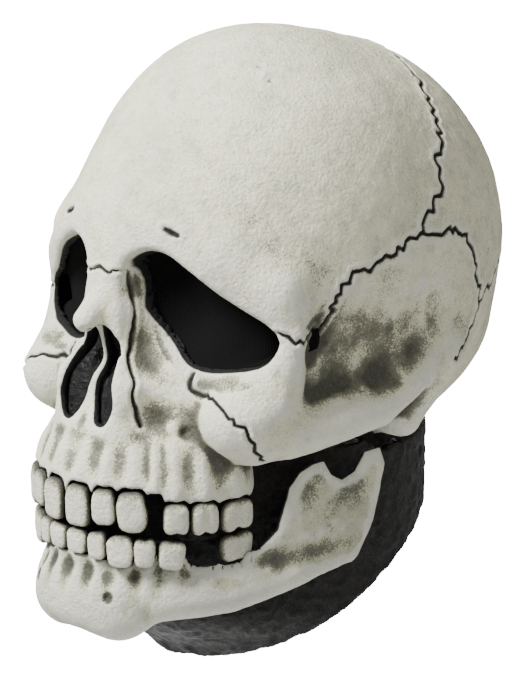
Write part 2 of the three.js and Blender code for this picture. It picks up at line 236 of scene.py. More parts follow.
def neck_field(p):
    x, y, z = p.T
    chin = ramp(z, -182, -150)
    tube = (np.hypot(x / (60 + 3 * chin), (y - 10 + 14 * chin) / (76 + 14 * chin)) - 1) * 60
    mouth = (np.hypot(x / 42.5, (y - ARCH_BACK) / 47) - 1) * 45
    bulge = common(mouth, np.abs(z + 100) - 34, 16)
    at_rim = np.stack([x, y, np.maximum(z, -74)], -1)
    lap = 77 + 9 * ramp(y, -4, 14)
    under_skull = skull_field(at_rim) + SKIN + LAP_GAP - 60 * ramp(-z, lap, lap + 9)
    in_jaw = np.stack([x, y, np.maximum(z, -100)], -1)
    behind_jaw = jaw_field(in_jaw) + SKIN + JAW_GAP - 60 * (1 - ramp(-z, 100, 114))
    return common(join(tube, bulge, 8), np.maximum(under_skull, behind_jaw), 3)


def arch_lengths(count=200):
    """Angles round the dental arch from its front, and the length along it at each."""
    t = np.linspace(0, math.pi / 2, count)
    speed = np.hypot(ARCH_WIDTH * np.cos(t), ARCH_DEPTH * np.sin(t))
    return t, np.concatenate([[0], np.cumsum((speed[1:] + speed[:-1]) / 2 * (t[1] - t[0]))])


ARCH_ANGLES, ARCH_SPANS = arch_lengths()


def arch_distance(x, y):
    """Distance along the dental arch from its middle, on one side of the face."""
    t = np.arctan2(x / ARCH_WIDTH, (ARCH_BACK - y) / ARCH_DEPTH)
    return np.interp(t, ARCH_ANGLES, ARCH_SPANS) + np.maximum(y - ARCH_BACK, 0)


def arch_point(distance, size):
    """Place and turn of a tooth at a distance along the arch, on the wearer's left."""
    t = np.interp(min(distance / size, ARCH_SPANS[-1]), ARCH_SPANS, ARCH_ANGLES)
    beyond = max(distance - ARCH_SPANS[-1] * size, 0)
    along = np.array([ARCH_WIDTH * math.cos(t), ARCH_DEPTH * math.sin(t)])
    along = along / np.hypot(*along)
    x = ARCH_WIDTH * size * math.sin(t) + along[0] * beyond
    y = ARCH_BACK - ARCH_DEPTH * size * math.cos(t) + along[1] * beyond
    return x, y, math.atan2(along[1], along[0])


def sockets(p, table, size):
    """The crowns on one side as a field, for the places where they sit in the gum."""
    d = np.full(len(p), FAR, np.float32)
    for _, distance, width, top, bottom, _ in table:
        x, y, turn = arch_point(distance, size)
        c, s = math.cos(turn), math.sin(turn)
        dx, dy = p[:, 0] - x, p[:, 1] - y
        half = [width / 2, TOOTH_DEPTH / 2, (top - bottom) / 2]
        local = [dx * c + dy * s, dy * c - dx * s - half[1], p[:, 2] - (top + bottom) / 2]
        norm = sum(np.abs(v / h) ** SQUARE for v, h in zip(local, half)) ** (1 / SQUARE)
        d = np.minimum(d, (norm - 1) * min(half))
    return d


def with_sockets(skin, p, table, size, near):
    cut = skin.copy()
    cut[near] = carve(skin[near], sockets(p[near], table, size) - GUM_GAP, 1.2)
    return cut


def folded(p):
    q = p.astype(np.float32).copy()
    q[:, 0] = np.abs(q[:, 0])
    return q


EYE_CURVE = rounded(EYE, 3)
NOSE_CURVE = rounded(NOSE, 3)


def cranium_solid(p):
    q = folded(p)
    x, y, z = q.T
    d = skull_field(q)
    eye = np.maximum(near_outline(x, z, EYE_CURVE, RIM_REACH), y + EYE_BACK)
    nose = np.maximum(near_outline(x, z, NOSE_CURVE, RIM_REACH), y + NOSE_BACK)
    skin = carve(carve(d, eye, 6), nose, 3.5)
    skin = np.maximum(skin, -(d + SKIN))
    skin = carve(skin, outline_distance(y, z, BASE_SIDE), 2)
    return with_sockets(skin, q, UPPER_TEETH, UPPER_SIZE, (z < -78) & (y < -50))


def mandible_solid(p):
    q = folded(p)
    x, y, z = q.T
    d = jaw_field(q)
    skin = np.maximum(d, -(d + SKIN))
    passage = (np.hypot(x / 70, (y - 5) / 123) - 1) * 70
    skin = np.maximum(skin, -np.maximum(passage, z + 120))
    skin = common(skin, outline_distance(y, z, JAW_SIDE), 3)
    return with_sockets(skin, q, LOWER_TEETH, LOWER_SIZE, (z > -126) & (y < -48))


def neck_solid(p):
    q = folded(p)
    y, z = q[:, 1], q[:, 2]
    d = neck_field(q)
    hem = (HEM_HEIGHT + HEM_SLOPE * (y - HEM_Y) - z) / math.hypot(1, HEM_SLOPE)
    skin = np.maximum(d, -(d + SKIN))
    return common(common(skin, hem, 1.5), z - NECK_TOP, 1.5)


# ------------------------------------------------------------------ surfaces from fields

CORNERS = [(0, 0, 0), (1, 0, 0), (0, 1, 0), (1, 1, 0), (0, 0, 1), (1, 0, 1), (0, 1, 1), (1, 1, 1)]
EDGES = [(0, 1), (2, 3), (4, 5), (6, 7), (0, 2), (1, 3), (4, 6), (5, 7), (0, 4), (1, 5), (2, 6), (3, 7)]


def sample(field, low, high, step):
    counts = [int((b - a) / step) + 2 for a, b in zip(low, high)]
    axes = [a + step * np.arange(n, dtype=np.float32) for a, n in zip(low, counts)]
    grid = np.stack(np.meshgrid(*axes, indexing="ij"), -1).reshape(-1, 3)
    values = np.concatenate([field(part) for part in np.array_split(grid, max(1, len(grid) // 200000))])
    return values.reshape(counts)


def surface_nets(values, low, step):
    """A quad mesh of the zero level: one point per mixed cell, one quad per crossed grid edge."""
    inside = values < 0
    shape = [n - 1 for n in values.shape]
    part = [inside[i:i + shape[0], j:j + shape[1], k:k + shape[2]] for i, j, k in CORNERS]
    count = sum(c.astype(np.int8) for c in part)
    cells = np.argwhere((count > 0) & (count < 8))
    index = np.full(shape, -1, np.int64)
    index[tuple(cells.T)] = np.arange(len(cells))
    corner = np.stack([values[tuple((cells + c).T)] for c in np.array(CORNERS)], -1)
    total = np.zeros((len(cells), 3))
    hits = np.zeros(len(cells))
    for a, b in EDGES:
        va, vb = corner[:, a], corner[:, b]
        crossed = (va < 0) != (vb < 0)
        t = np.where(crossed, va / np.where(crossed, va - vb, 1), 0)
        ca, cb = np.array(CORNERS[a], float), np.array(CORNERS[b], float)
        total += np.where(crossed[:, None], ca + (cb - ca) * t[:, None], 0)
        hits += crossed
    points = (cells + total / hits[:, None]) * step + np.array(low)
    quads = []
    for axis in range(3):
        u, v = [(1, 2), (2, 0), (0, 1)][axis]
        one = np.eye(3, dtype=int)
        first = inside[tuple(slice(0, n - (k == axis)) for k, n in enumerate(inside.shape))]
        second = inside[tuple(slice(1 if k == axis else 0, n) for k, n in enumerate(inside.shape))]
        for flip in (False, True):
            edge = np.argwhere((first & ~second) if not flip else (~first & second))
            edge = edge[(edge[:, u] > 0) & (edge[:, v] > 0)]
            edge = edge[(edge[:, u] < shape[u]) & (edge[:, v] < shape[v])]
            ring = [edge - one[u] - one[v], edge - one[v], edge, edge - one[u]]
            quad = np.stack([index[tuple(r.T)] for r in ring], -1)
            quads.append(quad[:, ::-1] if flip else quad)
    return points, np.concatenate(quads)


def linked(name, data):
    """A new object with this data, in the scene."""
    thing = bpy.data.objects.new(name, data)
    bpy.context.scene.collection.objects.link(thing)
    return thing


def new_object(name, points, faces):
    mesh = bpy.data.meshes.new(name)
    mesh.vertices.add(len(points))
    mesh.vertices.foreach_set("co", np.asarray(points, np.float32).ravel())
    width = faces.shape[1]
    mesh.loops.add(faces.size)
    mesh.loops.foreach_set("vertex_index", faces.ravel().astype(np.int32))
    mesh.polygons.add(len(faces))
    mesh.polygons.foreach_set("loop_start", np.arange(0, faces.size, width, dtype=np.int32))
    mesh.update(calc_edges=True)
    mesh.validate()
    return linked(name, mesh)


def subdivided(piece, levels):
    modifier = piece.modifiers.new("smooth", "SUBSURF")
    modifier.levels = levels
    depsgraph = bpy.context.evaluated_depsgraph_get()
    mesh = bpy.data.meshes.new_from_object(piece.evaluated_get(depsgraph))
    piece.modifiers.clear()
    piece.data = mesh
    return piece


def read_points(piece):
    co = np.empty(len(piece.data.vertices) * 3, np.float32)
    piece.data.vertices.foreach_get("co", co)
    return co.reshape(-1, 3).astype(float)


def read_normals(piece):
    normal = np.empty(len(piece.data.vertices) * 3, np.float32)
    piece.data.vertex_normals.foreach_get("vector", normal)
    return normal.reshape(-1, 3).astype(float)


def write_points(piece, points):
    piece.data.vertices.foreach_set("co", np.asarray(points, np.float32).ravel())
    piece.data.update()


def in_parts(field, points):
    return np.concatenate([field(part) for part in np.array_split(points, max(1, len(points) // 100000))])


def settle(piece, field, rounds=3):
    """Moves the points onto the field's surface along their normals."""
    for _ in range(rounds):
        points = read_points(piece)
        d = np.clip(in_parts(field, points), -0.8, 0.8)
        write_points(piece, points - read_normals(piece) * d[:, None])


def neighbours_mean(piece, values, rounds):
    edges = np.empty(len(piece.data.edges) * 2, np.int32)
    piece.data.edges.foreach_get("vertices", edges)
    a, b = edges.reshape(-1, 2).T
    n = len(piece.data.vertices)
    degree = np.bincount(a, minlength=n) + np.bincount(b, minlength=n)
    for _ in range(rounds):
        sums = [np.bincount(a, column[b], n) + np.bincount(b, column[a], n) for column in values.T]
        values = np.stack(sums, -1) / degree[:, None]
    return values


def hollow(piece, rounds):
    """How far each point lies below the average of its surroundings, in millimetres."""
    points = read_points(piece)
    mean = neighbours_mean(piece, points, rounds)
    return ((mean - points) * read_normals(piece)).sum(-1)


def paint(piece, name, values):
    layer = piece.data.attributes.new(name, "FLOAT", "POINT")
    layer.data.foreach_set("value", np.asarray(values, np.float32))


def grow(name, solid, low, high, step):
    values = sample(solid, low, high, step)
    points, quads = surface_nets(values, low, step)
    piece = subdivided(new_object(name, points, quads), 1)
    settle(piece, solid)
    return piece


GRAIN_TABLE = 4096  # random values that grain draws from, a power of two


def grain(points, size, seed):
    """Smooth noise from -1 to 1 with bumps of the given size."""
    table = np.random.RandomState(seed).rand(GRAIN_TABLE) * 2 - 1
    q = points / size
    cell = np.floor(q).astype(np.int64)
    f = q - cell
    f = f * f * (3 - 2 * f)
    total = np.zeros(len(points))
    for corner in CORNERS:
        i, j, k = (cell + corner).T
        weight = np.ones(len(points))
        for axis in range(3):
            weight = weight * (f[:, axis] if corner[axis] else 1 - f[:, axis])
        total += weight * table[(i * 73856093 ^ j * 19349663 ^ k * 83492791) & (GRAIN_TABLE - 1)]
    return total


def spots(points, places):
    """The strongest of several soft round marks, each (x, y, z, radius, amount)."""
    total = np.zeros(len(points))
    for x, y, z, radius, amount in places:
        d2 = ((points - (x, y, z)) ** 2).sum(-1)
        total = np.maximum(total, amount * np.exp(-d2 / radius ** 2))
    return total


# ------------------------------------------------------------------ cracks and sutures of the skull

GROOVE = 0.8  # usual width of a suture's groove
CORONAL = [(-2, 57, 93), (12, 57, 92), (26, 56, 88), (38, 55, 83), (50, 51, 75), (57, 48, 69), (68, 42, 58),
           (75, 32, 49), (80, 30, 38), (84, 19, 29), (86, 9, 21)]
SQUAMOUS_FRONT = [(86, 9, 21), (86, -1, 16), (85, -11, 12), (84, -20, 8), (82, -31, 6), (81, -36, 1),
                  (79, -39, -6), (76, -40, -16), (80, -56, -18), (80, -65, -18), (74, -70, -16),
                  (70, -70, -17)]
SQUAMOUS_BACK = [(86, 9, 21), (86, 22, 18), (84, 39, 16), (83, 46, 6), (81, 54, -8), (77, 61, -21),
                 (76, 55, -34), (82, 36, -44)]
LAMBDOID = [(77, 61, -21), (66, 84, -10), (48, 104, 8), (26, 118, 26), (0, 122, 38)]
SAGITTAL = [(0, 57, 93), (2, 80, 82), (-1, 104, 62), (0, 122, 38)]
NASOFRONTAL = [(0, -106, 9), (6, -106, 8), (12, -100, 9)]
NOSE_SIDE = [(12, -100, 9), (13, -98, -5), (19, -101, -20), (20, -105, -30), (25, -108, -39), (24, -109, -45),
             (26, -107, -58)]
CHEEK = [(41, -88, -32), (41, -90, -41), (48, -89, -43), (63, -93, -45), (70, -92, -51), (74, -87, -55),
         (74, -86, -60), (71, -76, -71)]
BROW_SLIT = [(30, -95, 29.5), (36, -93, 27)]
# points, sideways wander, groove width, seed
LINES = [(CORONAL, 2.3, GROOVE, 1), (SQUAMOUS_FRONT, 1.9, GROOVE, 2), (SQUAMOUS_BACK, 1.9, GROOVE, 3),
         (LAMBDOID, 2.6, GROOVE, 4), (NASOFRONTAL, 0.9, 0.6, 5), (NOSE_SIDE, 0.8, 0.75, 6),
         (CHEEK, 1.3, GROOVE, 7), (BROW_SLIT, 0.2, 0.9, 8)]


def curve_points(points, spacing):
    """A Catmull-Rom curve through the points, walked at an even spacing."""
    pts = np.array([points[0]] + list(points) + [points[-1]], float)
    out = []
    for a, b, c, d in zip(pts, pts[1:], pts[2:], pts[3:]):
        for t in np.linspace(0, 1, max(2, int(np.linalg.norm(c - b) / spacing)), endpoint=False):
            out.append(0.5 * (2 * b + (c - a) * t + (2 * a - 5 * b + 4 * c - d) * t * t
                              + (3 * b - a - 3 * c + d) * t ** 3))
    return np.array(out + [pts[-1]])


def jagged(points, wander, seed, spacing=0.4):
    """The curve with the short sideways zigzags of a suture."""
    path = curve_points(points, spacing)
    rng = np.random.RandomState(seed)
    steps = np.cumsum(rng.uniform(1.5, 4.2, len(path)))
    turns = rng.uniform(-1, 1, len(path)) * np.where(np.arange(len(path)) % 2, 1, -1)
    place = np.arange(len(path)) * spacing
    offset = np.interp(place, steps, np.sign(turns) * (0.35 + 0.65 * np.abs(turns))) * wander
    along = np.gradient(path, axis=0)
    outward = path - (0, 10, -10)
    sideways = np.cross(along, outward)
    sideways /= np.linalg.norm(sideways, axis=1)[:, None]
    return path + sideways * offset[:, None]


def onto(field, points):
    """The points carried to the zero level of a field."""
    for _ in range(4):
        d = field(folded(points))
        slope = np.stack([field(folded(points + step)) - d for step in 0.4 * np.eye(3)], -1) / 0.4
        points = points - slope * (d / np.maximum((slope ** 2).sum(-1), 0.2))[:, None]
    return points


def line_distance(points, active):
    """Distance to the nearest line, less for wide grooves, for the active points, and FAR elsewhere."""
    paths, widths = [], []
    for line, wander, width, seed in LINES:
        for side in (1, -1):
            mirrored = [(side * x, y, z) for x, y, z in line]
            paths.append(jagged(mirrored, wander, seed + 50 * (side < 0)))
            widths.append(np.full(len(paths[-1]), width))
    paths.append(jagged(SAGITTAL, 2.6, 9))
    widths.append(np.full(len(paths[-1]), GROOVE))
    path, width = onto(skull_field, np.concatenate(paths)), np.concatenate(widths)
    tree = KDTree(len(path))
    for i, point in enumerate(path):
        tree.insert(point, i)
    tree.balance()
    result = np.full(len(points), FAR)
    for i in np.flatnonzero(active):
        _, hit, d = tree.find(points[i])
        result[i] = d * GROOVE / width[hit]
    return result


# ------------------------------------------------------------------ relief of the bone skins


def roots(points, table, size, low, high):
    """Swellings over the roots of the teeth, from 0 in a valley to about 1 on a root, and where they show."""
    s = arch_distance(np.abs(points[:, 0]), points[:, 1]) * size
    height = sum(np.exp(-(((s - distance) / (0.34 * width)) ** 2)) for _, distance, width, *_ in table)
    wobble = 0.25 * grain(points, 9, 31)
    shown = ramp(points[:, 2] * np.sign(high - low), low * np.sign(high - low), high * np.sign(high - low))
    behind = 1 - ramp(points[:, 1], -62, -48)
    return np.clip(height + wobble, 0, 1.2), shown * behind


# Dark airbrushing in the hollows, partly the mask's own paint and partly painted shade, as for spots: x, y,
# z, radius, amount.
TEMPLE_WASH_AND_SHADE = [(80, -32, -44, 13, 0.55), (82, -10, -46, 14, 0.5), (80, 10, -38, 13, 0.45),
               (80, -14, -20, 20, 0.4), (77, -44, -24, 13, 0.5), (76, -42, -8, 12, 0.35)]
NOSE_WASH_AND_SHADE = [(0, -119, -63, 8, 0.6), (12, -119, -64, 7, 0.55), (24, -113, -64, 6, 0.4),
             (10, -100, 4, 8, 0.35), (14, -99, -14, 8, 0.4), (16, -102, -30, 7, 0.3), (0, -112, -42, 9, 0.75)]
CHEEK_WASH_AND_SHADE = [(40, -93, -61, 5, 0.45), (31, -97, -42, 8, 0.25), (45, -90, -44, 9, 0.2),
              (62, -86, -42, 9, 0.2)]
ARCH_WASH_AND_SHADE = [(62, -60, -84, 14, 0.9), (52, -64, -84, 12, 0.7), (72, -40, -76, 9, 0.5), (78, -10, -72, 8, 0.6),
             (72, 16, -66, 11, 0.9), (70, 34, -54, 9, 0.4)]
SKULL_HOLLOWS = TEMPLE_WASH_AND_SHADE + NOSE_WASH_AND_SHADE + CHEEK_WASH_AND_SHADE + ARCH_WASH_AND_SHADE
RAMUS_WASH_AND_SHADE = [(72, -22, -92, 11, 0.8), (70, -48, -92, 9, 0.65), (72, -40, -82, 9, 0.8), (73, -6, -80, 9, 0.5),
              (70, -36, -112, 10, 0.4)]
BODY_WASH_AND_SHADE = [(62, -60, -124, 9, 0.45), (44, -92, -126, 8, 0.4), (23, -125, -134, 4, 0.9),
             (0, -128, -127, 9, 0.5), (20, -124, -127, 7, 0.45), (60, -56, -136, 9, 0.35),
             (36, -106, -142, 9, 0.3)]
JAW_HOLLOWS = RAMUS_WASH_AND_SHADE + BODY_WASH_AND_SHADE
# Places pressed in or raised, likewise.
TEMPLE_DENTS = [(77, -45, -24, 10, 2.0), (79, -36, -34, 11, 2.0), (82, -14, -42, 11, 1.8),
                (81, 6, -38, 9, 1.2)]
FACE_PITS = [(40, -93, -61, 2.6, 2.6), (33, -94, 28, 2.4, 0.8)]
CROWN_BLEMISH = [(34, -37, 91, 2.2, 1.0), (30, -33, 94, 1.6, 0.7), (38, -43, 86, 1.8, 0.8)]
CROWN_PITS = [(37, -38, 89, 1.4, 0.9), (28, -36, 93, 1.3, 0.6)]
CHIN_PIT = [(23, -125, -134, 2.2, 2.2)]
ROOT_SHADE = 0.38  # how dark the valleys between the roots are


def skull_relief(points):
    """Height of the sculpted detail on the cranium and its painted marks, among them painted shade in its
    hollows.
    """
    q = folded(points).astype(float)
    depth = skull_field(folded(points))
    outer = 1 - ramp(-depth, 0.5, 1.8)
    crack = line_distance(points, outer > 0.3)
    height = -1.15 * np.exp(-((crack / 0.85) ** 2)) + 0.4 * np.exp(-(((crack - 2.3) / 1.1) ** 2))
    root, shown = roots(points, UPPER_TEETH, UPPER_SIZE, -60, -74)
    height += shown * (1.5 * root - 0.6)
    height += 0.3 * grain(points, 11, 11) + 0.16 * grain(points, 4.5, 12) + 0.08 * grain(points, 2.2, 13)
    height -= spots(q, FACE_PITS)
    height -= spots(q, TEMPLE_DENTS)
    height += spots(q, [(35, -96, -59, 2.6, 1.0)])
    height += spots(points, CROWN_BLEMISH)
    height -= spots(points, CROWN_PITS)
    eye = near_outline(q[:, 0], q[:, 2], EYE_CURVE, RIM_REACH)
    nose = near_outline(q[:, 0], q[:, 2], NOSE_CURVE, RIM_REACH)
    front = q[:, 1] < -44
    rim = np.where(front, np.maximum(1 - ramp(eye, 1.2, 5.5), 1 - ramp(nose, 0.8, 3.5) * (q[:, 1] < -90)), 0)
    shade = np.where(front & (q[:, 2] > -4), 0.55 * (1 - ramp(eye, 3, 11)), 0)
    inside = np.where(front & (eye < 1.6) | (q[:, 1] < -90) & (nose < 1.2), ramp(-depth, 0.4, 1.6), 0)
    valleys = shown * ROOT_SHADE * (1 - root)
    # Painted shade, partly the mask's dark airbrushing: in the hollows, round the rims of the holes, under
    # the brow and between the roots.
    wash_and_shade = np.maximum.reduce([spots(q, SKULL_HOLLOWS), 0.6 * rim * (eye < 9), shade, valleys])
    wash_and_shade = np.maximum(wash_and_shade, 0.5 * np.exp(-((crack / 2.6) ** 2)))
    return height * outer, crack, wash_and_shade * outer, np.maximum(inside, 1 - outer)


def jaw_relief(points):
    """Height of the sculpted detail on the lower jaw and its painted marks, among them painted shade in its
    hollows.
    """
    q = folded(points).astype(float)
    outer = 1 - ramp(-jaw_field(folded(points)), 0.5, 1.8)
    root, shown = roots(points, LOWER_TEETH, LOWER_SIZE, -140, -126)
    height = shown * (1.4 * root - 0.6)
    height += 0.3 * grain(points, 11, 21) + 0.16 * grain(points, 4.5, 22) + 0.08 * grain(points, 2.2, 23)
    height -= spots(q, CHIN_PIT)
    # Painted shade, partly the mask's dark airbrushing, in the hollows of the jaw and between the roots.
    wash_and_shade = np.maximum(spots(q, JAW_HOLLOWS), shown * ROOT_SHADE * (1 - root))
    return height * outer, np.full(len(points), FAR), wash_and_shade * outer, 1 - outer


NEAR_ROUNDS = 24  # rounds of averaging that find the small hollows
WIDE_ROUNDS = 110  # and the wide ones


def apply_relief(piece, relief):
    """Raises the sculpted detail on a skin and stores its painted marks on its points: painted shade that
    darkens its hollows and a painted highlight that lightens its raised edges.
    """
    points, normals = read_points(piece), read_normals(piece)
    height, crack, wash_and_shade, black = relief(points)
    write_points(piece, points + normals * height[:, None])
    cavity = hollow(piece, NEAR_ROUNDS)
    wide = hollow(piece, WIDE_ROUNDS)
    # Painted shade in the hollows that the averaging finds, partly the mask's dark airbrushing.
    wash_and_shade = np.clip(wash_and_shade + np.clip(cavity * 1.1, -0.25, 0.6) + np.clip(wide * 0.16, -0.2, 0.4), 0, 1)
    paint(piece, "crack", crack)
    paint(piece, "wash_and_shade", wash_and_shade)
    paint(piece, "black", np.clip(black, 0, 1))
    # Painted highlight on the raised edges.
    paint(piece, "edge", np.clip(-cavity * 2.2 - 0.1, 0, 1))


def crumple(piece):
    """Folds and wrinkles of the thin black rubber."""
    points, normals = read_points(piece), read_normals(piece)
    warp = points + 3 * np.stack([grain(points, 9, s) for s in (41, 42, 43)], -1)
    fold = 1 - np.abs(grain(warp, 7, 44)) * 2
    height = 0.5 * fold + 0.35 * grain(warp, 3.6, 45) + 0.2 * grain(points, 2, 46) - 0.5
    write_points(piece, points + normals * height[:, None])


# ------------------------------------------------------------------ materials


class Shader:
    """A principled material being wired up, in the object's own metres."""

    def __init__(self, name):
        self.material = bpy.data.materials.new(name)
        self.material.use_nodes = True
        self.tree = self.material.node_tree
        self.surface = self.tree.nodes["Principled BSDF"]
        self.place = self.add("ShaderNodeTexCoord").outputs["Object"]

    def add(self, kind, **settings):
        node = self.tree.nodes.new(kind)
        for key, value in settings.items():
            setattr(node, key, value)
        return node

    def wire(self, value, socket):
        if isinstance(value, bpy.types.NodeSocket):
            self.tree.links.new(value, socket)
        else:
            socket.default_value = value

    def attribute(self, name):
        return self.add("ShaderNodeAttribute", attribute_name=name).outputs["Fac"]

    def noise(self, size_mm, detail=3.0, roughness=0.6, distortion=0.0):
        node = self.add("ShaderNodeTexNoise")
        self.wire(self.place, node.inputs["Vector"])
        node.inputs["Scale"].default_value = 1000 / size_mm
        node.inputs["Detail"].default_value = detail
        node.inputs["Roughness"].default_value = roughness
        node.inputs["Distortion"].default_value = distortion
        return node.outputs["Fac"]

    def cells(self, size_mm):
        node = self.add("ShaderNodeTexVoronoi", feature="SMOOTH_F1")
        self.wire(self.place, node.inputs["Vector"])
        node.inputs["Scale"].default_value = 1000 / size_mm
        return node.outputs["Distance"]

    def math(self, operation, a, b):
        node = self.add("ShaderNodeMath", operation=operation)
        self.wire(a, node.inputs[0])
        self.wire(b, node.inputs[1])
        return node.outputs[0]

    def fit(self, value, low, high, to_low=0.0, to_high=1.0):
        node = self.add("ShaderNodeMapRange", interpolation_type="SMOOTHSTEP")
        for socket, given in zip(node.inputs, (value, low, high, to_low, to_high)):
            self.wire(given, socket)
        return node.outputs[0]

    def mix(self, factor, a, b):
        node = self.add("ShaderNodeMix", data_type="RGBA")
        self.wire(factor, node.inputs["Factor"])
        for value, socket in ((a, node.inputs[6]), (b, node.inputs[7])):
            self.wire(value if isinstance(value, bpy.types.NodeSocket) else (*value, 1), socket)
        return node.outputs[2]

    def bump(self, height, distance_mm, strength):
        node = self.add("ShaderNodeBump")
        node.inputs["Strength"].default_value = strength
        node.inputs["Distance"].default_value = distance_mm * MM
        self.wire(height, node.inputs["Height"])
        self.wire(node.outputs["Normal"], self.surface.inputs["Normal"])


def bone_material(name, pale, dull, wash_and_shade_color):
    """Matt latex painted as old bone: cream, dry-brushed grey, with dark airbrushing in the hollows that is
    partly painted shade, and a painted highlight on the raised edges.
    """
    shader = Shader(name)
    wash_and_shade = shader.attribute("wash_and_shade")
    patches = shader.fit(shader.noise(38, 4), 0.32, 0.68)
    color = shader.mix(patches, pale, dull)
    mottle = shader.fit(shader.noise(7, 5, 0.75), 0.45, 0.7, 0.0, 0.45)
    color = shader.mix(mottle, color, (0.36, 0.365, 0.31))
    # Painted shade, partly the mask's dark airbrushing: a stipple of the dark colour over the hollows, then
    # near black where they are deepest.
    drift = shader.math("ADD", wash_and_shade, shader.math("MULTIPLY", shader.noise(16, 3), 0.22))
    speckle = shader.math("ADD", shader.noise(0.9, 2, 0.85), shader.math("MULTIPLY", drift, 0.55))
    color = shader.mix(shader.fit(speckle, 0.58, 0.86, 0.0, 0.78), color, wash_and_shade_color)
    deepest_wash_and_shade = shader.math("ADD", wash_and_shade, shader.math("MULTIPLY", shader.noise(1.2, 3), 0.6))
    color = shader.mix(shader.fit(deepest_wash_and_shade, 0.65, 1.5, 0.0, 0.8), color, (0.02, 0.02, 0.018))
    # Painted highlight on the raised edges, lightening the paint.
    edge = shader.fit(shader.attribute("edge"), 0.05, 0.7, 0.0, 0.55)
    color = shader.mix(edge, color, (0.86, 0.86, 0.77))
    line = shader.math("ADD", shader.attribute("crack"), shader.math("MULTIPLY", shader.noise(1.8, 2), 0.7))
    color = shader.mix(shader.fit(line, 0.75, 1.55, 1.0, 0.0), color, (0.012, 0.012, 0.01))
    color = shader.mix(shader.fit(shader.attribute("black"), 0.2, 0.7), color, (0.006, 0.006, 0.006))
    shader.wire(color, shader.surface.inputs["Base Color"])
    shader.wire(shader.fit(shader.noise(3, 3), 0.3, 0.7, 0.62, 0.82), shader.surface.inputs["Roughness"])
    shader.surface.inputs["Specular IOR Level"].default_value = 0.3
    pebbles = shader.math("ADD", shader.noise(1.2, 4, 0.75), shader.math("MULTIPLY", shader.cells(1.7), 0.6))
    shader.bump(pebbles, 1.0, 0.9)
    return shader.material


def rubber_material(name, deep, bloom_color):
    """Black latex, half shiny, finely crumpled, with a brown bloom in patches."""
    shader = Shader(name)
    bloom = shader.fit(shader.noise(5, 5, 0.7, 0.8), 0.45, 0.75)
    color = shader.mix(bloom, deep, bloom_color)
    shader.wire(color, shader.surface.inputs["Base Color"])
    shader.wire(shader.fit(shader.noise(4, 4), 0.3, 0.7, 0.28, 0.5), shader.surface.inputs["Roughness"])
    shader.surface.inputs["Specular IOR Level"].default_value = 0.32
    folds = shader.noise(3.4, 6, 0.7, 1.6)
    shader.bump(shader.math("ADD", folds, shader.math("MULTIPLY", shader.cells(4.2), 0.5)), 1.6, 0.9)
    return shader.material


def cloth_material(name):
    """Black open-weave cloth: two crossed sets of threads."""
    shader = Shader(name)
    threads = []
    for axis in ("X", "Z"):
        wave = shader.add("ShaderNodeTexWave", bands_direction=axis)
        shader.wire(shader.place, wave.inputs["Vector"])
        wave.inputs["Scale"].default_value = 320
        threads.append(wave.outputs["Fac"])
    weave = shader.math("MAXIMUM", *threads)
    color = shader.mix(weave, (0.001, 0.001, 0.001), (0.006, 0.006, 0.006))
    shader.wire(color, shader.surface.inputs["Base Color"])
    shader.surface.inputs["Roughness"].default_value = 0.95
    shader.surface.inputs["Specular IOR Level"].default_value = 0.1
    shader.bump(weave, 0.3, 0.5)
    return shader.material


def floor_material(name):
    shader = Shader(name)
    tone = shader.mix(shader.fit(shader.noise(300, 2), 0.3, 0.7), (0.90, 0.90, 0.90), (0.93, 0.93, 0.93))
    shader.wire(tone, shader.surface.inputs["Base Color"])
    shader.surface.inputs["Roughness"].default_value = 0.9
    return shader.material


# ------------------------------------------------------------------ teeth


CROWN_CUTS = 17  # cuts along each side of the cube that a crown is made from
CROWN_SPREAD = 0.25  # a crown is drawn wider than its table width by this much on each side


def crown_shape(kind, u):
    """A crown's shape, biting edge at -1 in Z, and the squared ball under it, from points on a ball."""
    v = np.sign(u) * np.abs(u) ** (2 / SQUARE / 1.25)
    x, y, z = v.T
    bite = np.clip(-z, 0, 1)
    width = 1.03 - 0.10 * np.clip(z, 0, 1) - 0.03 * bite ** 4
    face = 0.10 * x * x + 0.10 * bite ** 3
    dip = 0.0
    if kind == "canine":
        dip = 0.16 * x * x
    if kind.startswith("premolar"):
        dip = 0.14 * np.exp(-((x / 0.35) ** 2))
    if kind.startswith("molar"):
        dip = 0.22 * np.exp(-((x / 0.3) ** 2))
        face = face + 0.22 * np.exp(-((x / 0.2) ** 2))
    front = np.clip(-y, 0, 1)
    return np.stack([x * width, y + face * front, z + dip * bite ** 2], -1), v


